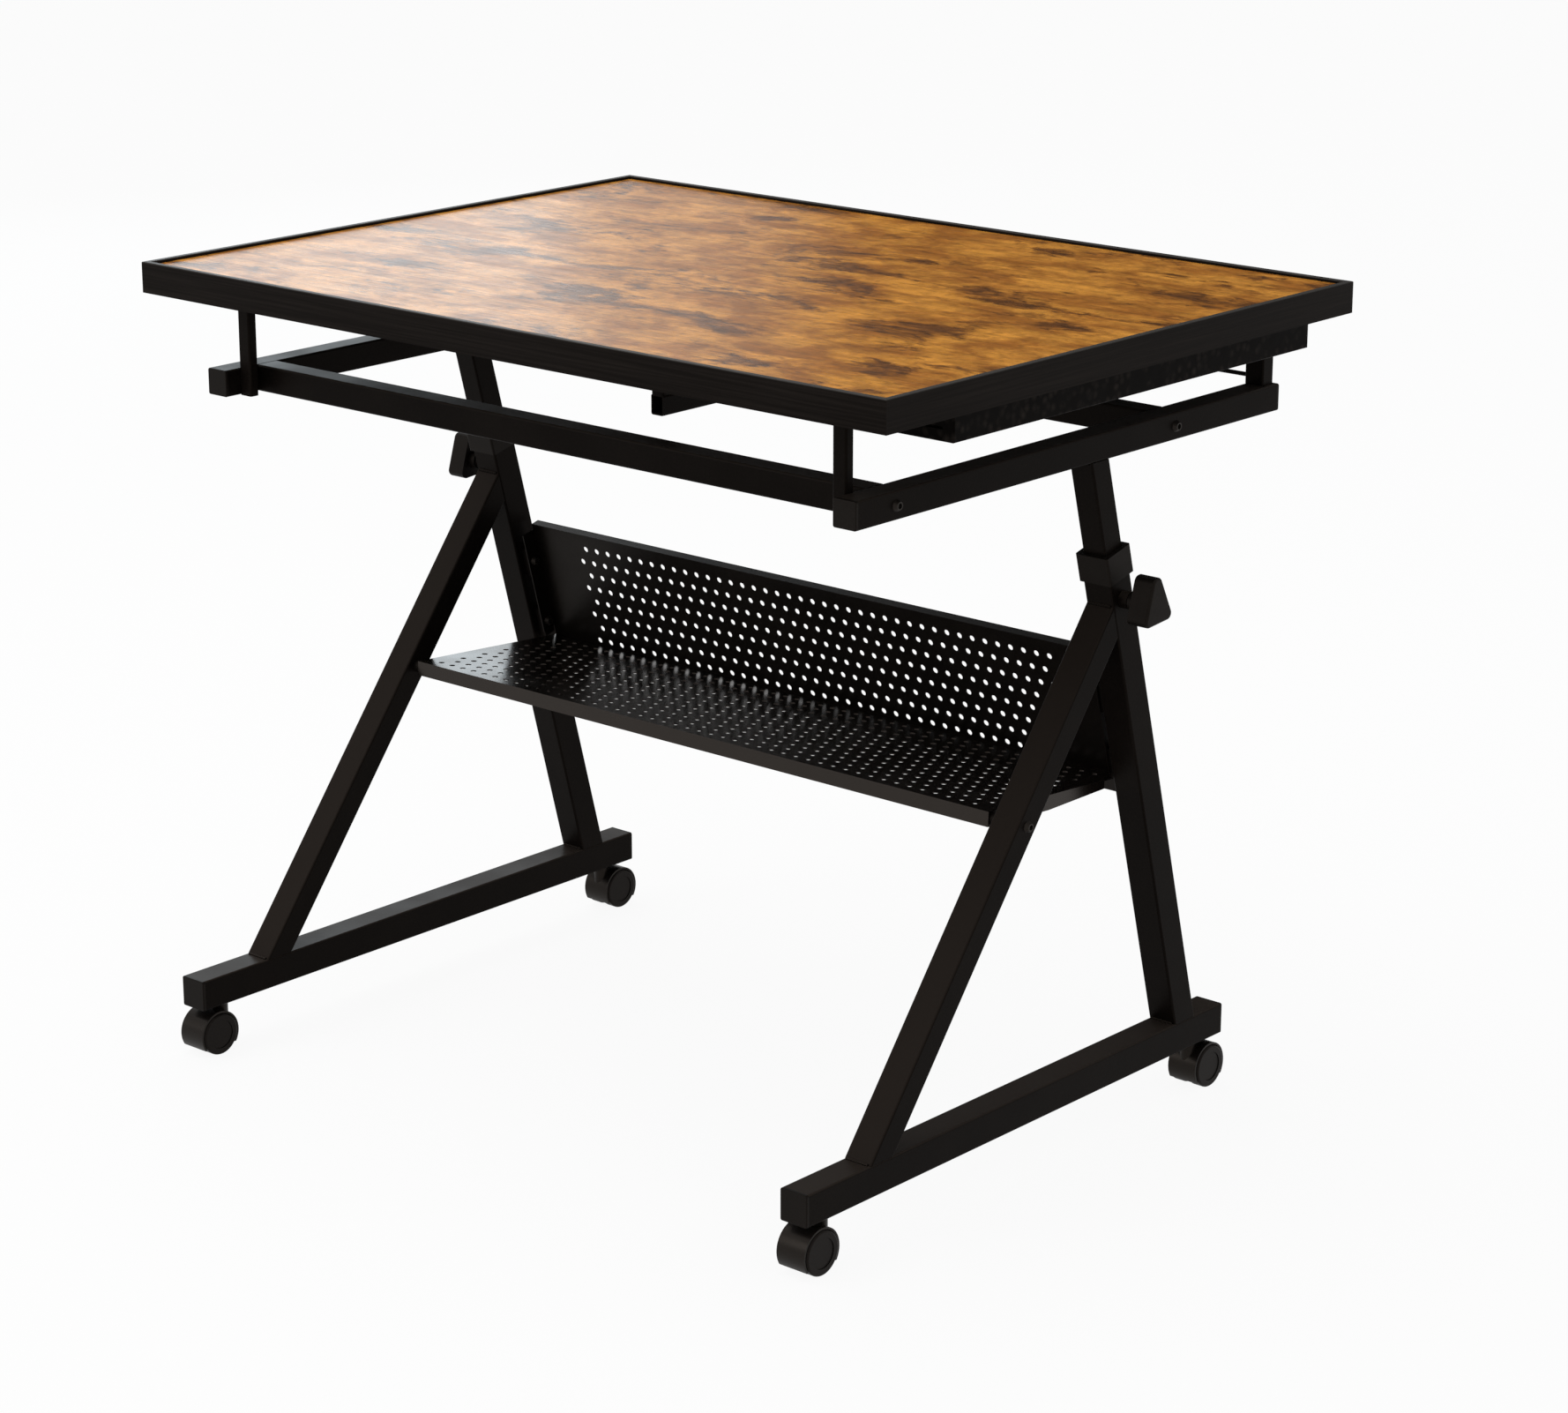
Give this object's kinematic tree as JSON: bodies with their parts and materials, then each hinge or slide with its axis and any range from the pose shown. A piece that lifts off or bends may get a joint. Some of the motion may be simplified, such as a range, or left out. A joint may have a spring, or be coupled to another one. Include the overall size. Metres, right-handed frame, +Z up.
{
  "type": "jigsaw puzzle table",
  "caption": "Height-adjustable jigsaw puzzle table: framed wood-effect board with side sorting drawers on a black steel base with leaning legs, a perforated shelf and swivel castors.",
  "frame": {"origin": "on the floor, under the middle of the box round the whole table at rest", "axes": "+X to the table's right as seen from its front, +Y to its back, +Z up"},
  "size_m": [0.9, 0.698, 0.7625],
  "materials": {
    "powder_black": "satin powder coat",
    "plastic_black": "fine matt moulding",
    "castor_tread": "smooth nylon",
    "bolt_black": "black-coated steel",
    "bright_steel": "zinc-plated steel",
    "board_wood": "satin rustic wood-effect laminate",
    "rail_black": "black laminate",
    "drawer_black": "speckled black laminate"
  },
  "bodies": {
    "base": {"foot_left": "powder_black", "foot_right": "powder_black", "foot_end_caps": "plastic_black", "front_leg_left": "powder_black", "front_leg_right": "powder_black", "rear_leg_left": "powder_black", "rear_leg_right": "powder_black", "collar_left": "plastic_black", "collar_right": "plastic_black", "shelf_back_panel": "powder_black", "shelf_floor": "powder_black", "shelf_spacers": "plastic_black", "shelf_bolts": "bolt_black", "castor_sockets": "bright_steel"},
    "lift": {"inner_leg_left": "powder_black", "inner_leg_right": "powder_black", "inner_leg_glides": "plastic_black", "side_tube_left": "powder_black", "side_tube_right": "powder_black", "side_tube_caps": "plastic_black", "front_cross_tube": "powder_black", "rear_cross_tube": "powder_black", "frame_bolts": "bolt_black", "front_post_left": "powder_black", "front_post_right": "powder_black", "rear_post_left": "powder_black", "rear_post_right": "powder_black", "tie_rod": "powder_black", "centre_arm": "powder_black", "centre_upright": "powder_black", "board": "board_wood", "edge_rail_front": "rail_black", "edge_rail_rear": "rail_black", "edge_rail_left": "rail_black", "edge_rail_right": "rail_black", "drawer_runner_front": "bright_steel", "drawer_runner_rear": "bright_steel", "board_screws": "bright_steel"},
    "drawer_left": {"drawer_front_left": "drawer_black", "drawer_walls_left": "drawer_black", "drawer_bottom_left": "drawer_black"},
    "drawer_right": {"drawer_front_right": "drawer_black", "drawer_walls_right": "drawer_black", "drawer_bottom_right": "drawer_black"},
    "knob_left": {"knob_left": "plastic_black", "knob_stud_left": "bright_steel"},
    "knob_right": {"knob_right": "plastic_black", "knob_stud_right": "bright_steel"},
    "castor_front_left": {"castor_hood_front_left": "plastic_black", "castor_pins_front_left": "bright_steel"},
    "wheels_front_left": {"castor_wheels_front_left": "castor_tread"},
    "castor_front_right": {"castor_hood_front_right": "plastic_black", "castor_pins_front_right": "bright_steel"},
    "wheels_front_right": {"castor_wheels_front_right": "castor_tread"},
    "castor_rear_left": {"castor_hood_rear_left": "plastic_black", "castor_pins_rear_left": "bright_steel"},
    "wheels_rear_left": {"castor_wheels_rear_left": "castor_tread"},
    "castor_rear_right": {"castor_hood_rear_right": "plastic_black", "castor_pins_rear_right": "bright_steel"},
    "wheels_rear_right": {"castor_wheels_rear_right": "castor_tread"}
  },
  "joints": [
    {"name": "height_slide", "type": "slide", "parent": "base", "child": "lift", "axis": [0, -0.2554, 0.9668], "range_m": [-0.0233, 0.2043]},
    {"name": "drawer_slide_left", "type": "slide", "parent": "lift", "child": "drawer_left", "axis": [-1, 0, 0], "range_m": [0, 0.26]},
    {"name": "drawer_slide_right", "type": "slide", "parent": "lift", "child": "drawer_right", "axis": [1, 0, 0], "range_m": [0, 0.26]},
    {"name": "knob_turn_left", "type": "hinge", "parent": "base", "child": "knob_left", "pos_m": [-0.383, 0.08095, 0.51017], "axis": [-1, 0, 0], "range_deg": [0, 540]},
    {"name": "knob_turn_right", "type": "hinge", "parent": "base", "child": "knob_right", "pos_m": [0.383, 0.08095, 0.51017], "axis": [1, 0, 0], "range_deg": [0, 540]},
    {"name": "castor_swivel_front_left", "type": "hinge", "parent": "base", "child": "castor_front_left", "pos_m": [-0.383, -0.3125, 0.0485], "axis": [0, 0, 1], "continuous": true},
    {"name": "wheel_roll_front_left", "type": "hinge", "parent": "castor_front_left", "child": "wheels_front_left", "pos_m": [-0.383, -0.326, 0.0205], "axis": [1, 0, 0], "continuous": true},
    {"name": "castor_swivel_front_right", "type": "hinge", "parent": "base", "child": "castor_front_right", "pos_m": [0.383, -0.3125, 0.0485], "axis": [0, 0, 1], "continuous": true},
    {"name": "wheel_roll_front_right", "type": "hinge", "parent": "castor_front_right", "child": "wheels_front_right", "pos_m": [0.383, -0.326, 0.0205], "axis": [1, 0, 0], "continuous": true},
    {"name": "castor_swivel_rear_left", "type": "hinge", "parent": "base", "child": "castor_rear_left", "pos_m": [-0.383, 0.2225, 0.0485], "axis": [0, 0, 1], "continuous": true},
    {"name": "wheel_roll_rear_left", "type": "hinge", "parent": "castor_rear_left", "child": "wheels_rear_left", "pos_m": [-0.383, 0.236, 0.0205], "axis": [1, 0, 0], "continuous": true},
    {"name": "castor_swivel_rear_right", "type": "hinge", "parent": "base", "child": "castor_rear_right", "pos_m": [0.383, 0.2225, 0.0485], "axis": [0, 0, 1], "continuous": true},
    {"name": "wheel_roll_rear_right", "type": "hinge", "parent": "castor_rear_right", "child": "wheels_rear_right", "pos_m": [0.383, 0.236, 0.0205], "axis": [1, 0, 0], "continuous": true}
  ]
}
